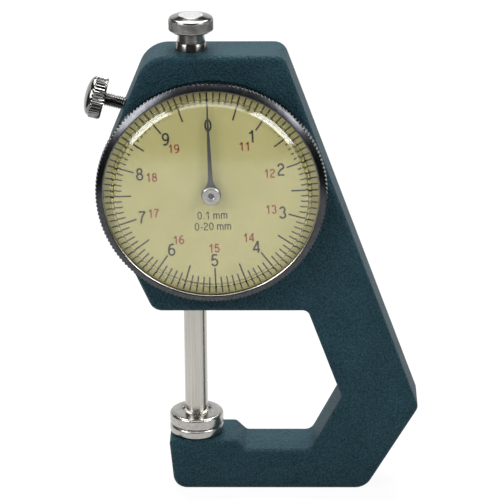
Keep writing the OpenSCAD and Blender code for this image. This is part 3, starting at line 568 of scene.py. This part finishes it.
# The crystal: a clear moulded cover with a flange under the bezel's lip, an upright wall, a narrow conical
# edge and a slightly domed top. It is polycarbonate, with faint moulding haze.
def larger(add, join, first, second):
    """The larger of two values, which is 1 where one of two marks is 1."""
    most = add("ShaderNodeMath", operation="MAXIMUM")
    join(first, most.inputs[0])
    join(second, most.inputs[1])
    return most.outputs["Value"]


def show_mixed(finish, add, join, share, first, second):
    """The finish shows a mix of two shaders, with this share of the second."""
    either = add("ShaderNodeMixShader")
    join(share, either.inputs["Fac"])
    join(first, either.inputs[1])
    join(second, either.inputs[2])
    join(either.outputs["Shader"], finish.node_tree.nodes["Material Output"].inputs["Surface"])


clear_crystal, shader, add, join = new_finish("clear_crystal")
shader.inputs["Base Color"].default_value = (0.97, 0.98, 0.98, 1)
shader.inputs["Transmission Weight"].default_value = 1.0
shader.inputs["IOR"].default_value = 1.58
where = add("ShaderNodeTexCoord").outputs["Object"]
haze = noise(add, join, where, Scale=250, Detail=2)
join(spread(add, join, haze, 0.07, 0.1), shader.inputs["Roughness"])
lets_light = add("ShaderNodeBsdfTransparent")
rays = add("ShaderNodeLightPath").outputs
indirect = larger(add, join, rays["Is Shadow Ray"], rays["Is Diffuse Ray"])
show_mixed(clear_crystal, add, join, indirect, shader.outputs["BSDF"], lets_light.outputs["BSDF"])

crystal_low, crystal_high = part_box("crystal")
flange_r = (crystal_high.x - crystal_low.x) / 2
crystal_rear = -crystal_high.y
crystal_top = -crystal_low.y
flange_front = crystal_rear + 0.6 * MM
wall_r = 21.3 * MM
wall = 0.9 * MM
top_t = 0.9 * MM
dome_rise = 0.45 * MM
edge_level = crystal_top - dome_rise
inner_r = wall_r - wall
inner_level = edge_level - top_t
facet_slope = 0.82
facet_foot = edge_level - 1.1 * MM
facet_out, facet_in = 20.9 * MM, 20.15 * MM
facet_top_r = wall_r - (edge_level - facet_foot) / facet_slope
wall_round, foot_round = 0.5 * MM, 0.25 * MM
dome_r = facet_top_r - 0.3 * MM
hollow_round = 0.4 * MM
hollow_dome_r = inner_r - hollow_round
bend = np.linspace(0, 1, 9)[:, None]


def rounded(start, corner, end):
    """Points on a quadratic curve from start to end that is drawn towards the corner."""
    start, corner, end = np.array(start), np.array(corner), np.array(end)
    return (1 - bend) ** 2 * start + 2 * bend * (1 - bend) * corner + bend**2 * end


def on_facet(r):
    """The point of the conical edge at this radius."""
    return [r, facet_foot + (wall_r - r) * facet_slope]


def shallow_dome(rim_r, rim_level):
    """A parabolic dome from its rim to its middle."""
    r = np.linspace(rim_r, 0, 14)[1:]
    return np.stack([r, rim_level + dome_rise * (1 - (r / rim_r) ** 2)], axis=-1)


hollow_edge = rounded([inner_r, inner_level - hollow_round], [inner_r, inner_level],
    [hollow_dome_r, inner_level])
foot = rounded([wall_r + foot_round, flange_front], [wall_r, flange_front],
    [wall_r, flange_front + foot_round])
crystal_profile = np.concatenate([shallow_dome(hollow_dome_r, inner_level)[::-1], hollow_edge[::-1],
    [[inner_r, crystal_rear], [flange_r, crystal_rear], [flange_r, flange_front]], foot,
    rounded([wall_r, facet_foot - wall_round], [wall_r, facet_foot], on_facet(facet_out)),
    rounded(on_facet(facet_in), [facet_top_r, edge_level], [dome_r, edge_level]),
    shallow_dome(dome_r, edge_level)])
crystal_grid = on_dial(turned(crystal_profile, 256))
crystal = new_piece("clear_cover", [crystal_grid], "bezel_set", clear_crystal)
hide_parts("crystal")


# The bezel: a turned ring in dark plated metal. Fine saw-tooth serrations run round its rim, a bevel leads
# to the lip over the crystal, whose inner edge takes light steel as a painted highlight line, and a spring wire
# in the bore keeps it on.
bezel_low, bezel_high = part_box("bezel")
bezel_r = (bezel_high.x - bezel_low.x) / 2
bezel_rear = -bezel_high.y
bezel_front = -bezel_low.y
opening_r = 22.7 * MM
bezel_bore_r = opening_r + 0.45 * MM
skirt_r = bezel_r - 0.68 * MM
shoulder_level = flange_front
rim_r = bezel_r - 0.02 * MM
rim_back_level = bezel_rear + 2.2 * MM
rim_front_level = shoulder_level + 0.25 * MM
face_r = opening_r + 0.4 * MM
lip_level = bezel_front - 0.06 * MM
edge_w = 0.2 * MM
edge_margin = 0.01 * MM
serrations = 168
serration_columns = 6
serration_depth = 0.35 * MM
bevel_r = bezel_r - serration_depth - 0.05 * MM
bezel_points = eased([[skirt_r, bezel_rear], [skirt_r, rim_back_level - 0.3 * MM], [rim_r, rim_back_level],
    [rim_r, rim_front_level - 0.2 * MM], [bevel_r, rim_front_level], [face_r, bezel_front],
    [opening_r + edge_w, lip_level], [opening_r, lip_level - edge_w], [opening_r, shoulder_level],
    [bezel_bore_r, shoulder_level], [bezel_bore_r, bezel_rear], [skirt_r, bezel_rear]], 0.06 * MM, 3)
bezel_angle = around(serrations * serration_columns)
teeth = triangle_wave(serrations * bezel_angle / (2 * np.pi) + 0.5)
bezel_radius = np.minimum(bezel_points[:, :1], bezel_r - serration_depth * (1 - teeth))
bezel_grid = on_dial(round_grid(bezel_radius, bezel_angle, bezel_points[:, 1:]))
bezel = new_piece("serrated_bezel", [bezel_grid], "bezel_set", dark_metal, 24)
bezel_middles = face_middles(bezel)
past_opening = from_dial_axis(bezel_middles) - opening_r
# Painted highlight: a narrow ring of light steel on the lip's inner edge stands in for the light line along it.
lip_highlight_faces = (past_opening > edge_margin) & (past_opening < edge_w - edge_margin)
refinish(bezel, (ground_steel, lip_highlight_faces & (bezel_middles[:, 1] < -shoulder_level)))
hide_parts("bezel")
dress("bezel_retaining_wire", ground_steel)


# The lock screw: a plated M3 screw with a straight-knurled, domed head. It presses a brass pad
# on the spindle through the casting's left shoulder.
dress("lock_pad", turned_brass)
lock_joint = next(j for j in frame["joints"] if j["name"] == "lock_screw_turn")
lock_start = np.array(lock_joint["pos_m"])
outwards = -np.array(lock_joint["axis"])
backwards = np.array([0, 1, 0])
upwards = np.cross(outwards, backwards)


def on_lock_axis(local):
    """Places points whose Z runs out along the lock screw, from the spindle's surface."""
    return lock_start + local[..., :1] * upwards + local[..., 1:2] * backwards + local[..., 2:] * outwards


thread_r = 1.5 * MM
thread_pitch = 0.5 * MM
thread_depth = 0.36 * MM
tip_level = 3.55 * MM
hollow_r = 0.65 * MM
hollow_level = tip_level + 0.85 * MM
head_level = 16.66 * MM
shank_end = head_level + 0.1 * MM
thread_columns, thread_rows = 48, 270
thread_angle = around(thread_columns)
thread_level = np.linspace(tip_level, shank_end, thread_rows)[:, None]
thread = triangle_wave(thread_level / thread_pitch - thread_angle / (2 * np.pi))
thread_grid = round_grid(thread_r - thread_depth * (1 - thread), thread_angle, thread_level)
tip_grid = turned([[0, hollow_level], [hollow_r, hollow_level], [hollow_r, tip_level]], thread_columns)
shank_grid = np.concatenate([tip_grid, thread_grid, turned([[0, shank_end]], thread_columns)])

head_r = 4.6 * MM
head_chamfer = 0.4 * MM
rim_w = 2.7 * MM
grip_r = head_r - 0.02 * MM
dome_h = 1.5 * MM
head_knurls = 36
head_knurl_columns = 8
head_knurl_depth = 0.3 * MM
knurl_fullness = 0.7
dome_angle = np.linspace(0, np.pi / 2, 12)
head_dome = np.stack([(head_r - head_chamfer) * np.cos(dome_angle),
    head_level + rim_w + dome_h * np.sin(dome_angle)], axis=-1)
head_points = np.concatenate([[[0, head_level], [head_r - head_chamfer, head_level],
    [grip_r, head_level + head_chamfer], [grip_r, head_level + rim_w - 0.25 * MM]], head_dome])
head_angle = around(head_knurls * head_knurl_columns)
head_ridges = triangle_wave(head_knurls * head_angle / (2 * np.pi) + 0.5) ** knurl_fullness
head_radius = np.minimum(head_points[:, :1], head_r - head_knurl_depth * (1 - head_ridges))
head_grid = round_grid(head_radius, head_angle, head_points[:, 1:])
lock_grids = [on_lock_axis(shank_grid), on_lock_axis(head_grid)]
lock = new_piece("thumb_screw", lock_grids, "lock_screw_set", bright_plate)
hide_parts("lock_screw")


# The studio: a white floor and backdrop, a broad soft lamp overhead, a weak one above the camera and one at
# each side. Dark cards beyond the frame and a dark ceiling give the bright metal its dark lines.
def seen_rays(add, join):
    """1 for the rays that show a surface directly, in a mirror or through the crystal, and 0 for the rest."""
    rays = add("ShaderNodeLightPath").outputs
    through = larger(add, join, rays["Is Glossy Ray"], rays["Is Transmission Ray"])
    return larger(add, join, rays["Is Camera Ray"], through)


def stage_plane(name, corners, finish):
    """A flat four-cornered sheet of the studio."""
    mesh = bpy.data.meshes.new(name)
    mesh.from_pydata([tuple(c) for c in corners], [], [(0, 1, 2, 3)])
    mesh.materials.append(finish)
    sheet = new_object(name, mesh)
    return sheet


def lying(half, level):
    """Corners of a level square about the origin."""
    return [(-half, -half, level), (half, -half, level), (half, half, level), (-half, half, level)]


def standing(start, end, height):
    """Corners of an upright sheet that stands on the floor from start to end."""
    return [(*start, 0), (*end, 0), (*end, height), (*start, height)]


paper, shader, add, join = new_finish("white_paper")
shader.inputs["Base Color"].default_value = (0.8, 0.8, 0.8, 1)
shader.inputs["Roughness"].default_value = 0.9
glow = add("ShaderNodeEmission")
glow_share = add("ShaderNodeMath", operation="MULTIPLY")
glow_share.inputs[1].default_value = 0.93
join(seen_rays(add, join), glow_share.inputs[0])
show_mixed(paper, add, join, glow_share.outputs["Value"], shader.outputs["BSDF"], glow.outputs["Emission"])
stage_plane("floor", lying(3.0, 0), paper)

world = bpy.data.worlds.new("studio")
bpy.context.scene.world = world
world.use_nodes = True
surround = world.node_tree.nodes["Background"]
surround.inputs["Color"].default_value = (1, 1, 1, 1)
add, join = node_tools(world.node_tree)
join(spread(add, join, seen_rays(add, join), 0.2, 1.0), surround.inputs["Strength"])

middle = (cad_box[0] + cad_box[1]) / 2


def soft_lamp(name, place, width, height, watts):
    """A rectangular lamp that looks at the middle of the gauge."""
    light = bpy.data.lights.new(name, "AREA")
    light.shape = "RECTANGLE"
    light.size = width
    light.size_y = height
    light.energy = watts
    lamp = new_object(name, light)
    lamp.location = place
    lamp.rotation_mode = "QUATERNION"
    lamp.rotation_quaternion = (middle - Vector(place)).to_track_quat("-Z", "Y")


soft_lamp("overhead", (0.02, 0.3, 0.68), width=0.6, height=0.4, watts=11.0)
soft_lamp("above_camera", (0.0, -0.37, 0.68), width=0.6, height=0.15, watts=0.9)
soft_lamp("left", (-0.52, -0.34, 0.44), width=0.36, height=0.4, watts=4.4)
soft_lamp("right", (0.52, -0.3, 0.46), width=0.32, height=0.4, watts=4.1)

black_card, shader, add, join = new_finish("black_card")
shader.inputs["Base Color"].default_value = (0.02, 0.02, 0.02, 1)
shader.inputs["Roughness"].default_value = 0.9
front_h, side_h = 0.36, 0.14
front_y, back_y, left_x, right_x = -0.265, 0.12, -0.2, 0.22
dark_corners = {
    "card_front": standing((left_x, front_y), (right_x, front_y), front_h),
    "card_left": standing((left_x, front_y), (left_x, back_y), side_h),
    "card_right": standing((right_x, front_y), (right_x, back_y), side_h),
    "ceiling": lying(1.8, 0.95),
}
for name, corners in dark_corners.items():
    dark_sheet = stage_plane(name, corners, black_card)
    dark_sheet.visible_camera = False


# The camera: a long lens a little above the gauge and a touch to its right, as in the photograph.
# All of the gauge is in focus.
camera_data = bpy.data.cameras.new("camera")
camera_data.sensor_width = 36.0
camera_data.lens = 202.6
camera_data.dof.use_dof = False
camera = new_object("camera", camera_data)
bpy.context.scene.camera = camera
target = Vector((12.057, 0, 54.426)) * MM
distance = 608.64 * MM
pitch, yaw, roll = math.radians(21.31), math.radians(1.051), math.radians(-0.434)
back = Vector((math.sin(yaw) * math.cos(pitch), -math.cos(yaw) * math.cos(pitch), math.sin(pitch)))
camera.location = target + back * distance
camera.rotation_mode = "QUATERNION"
camera.rotation_quaternion = Quaternion(back, roll) @ back.to_track_quat("Z", "Y")
bpy.context.scene.view_settings.view_transform = "Standard"
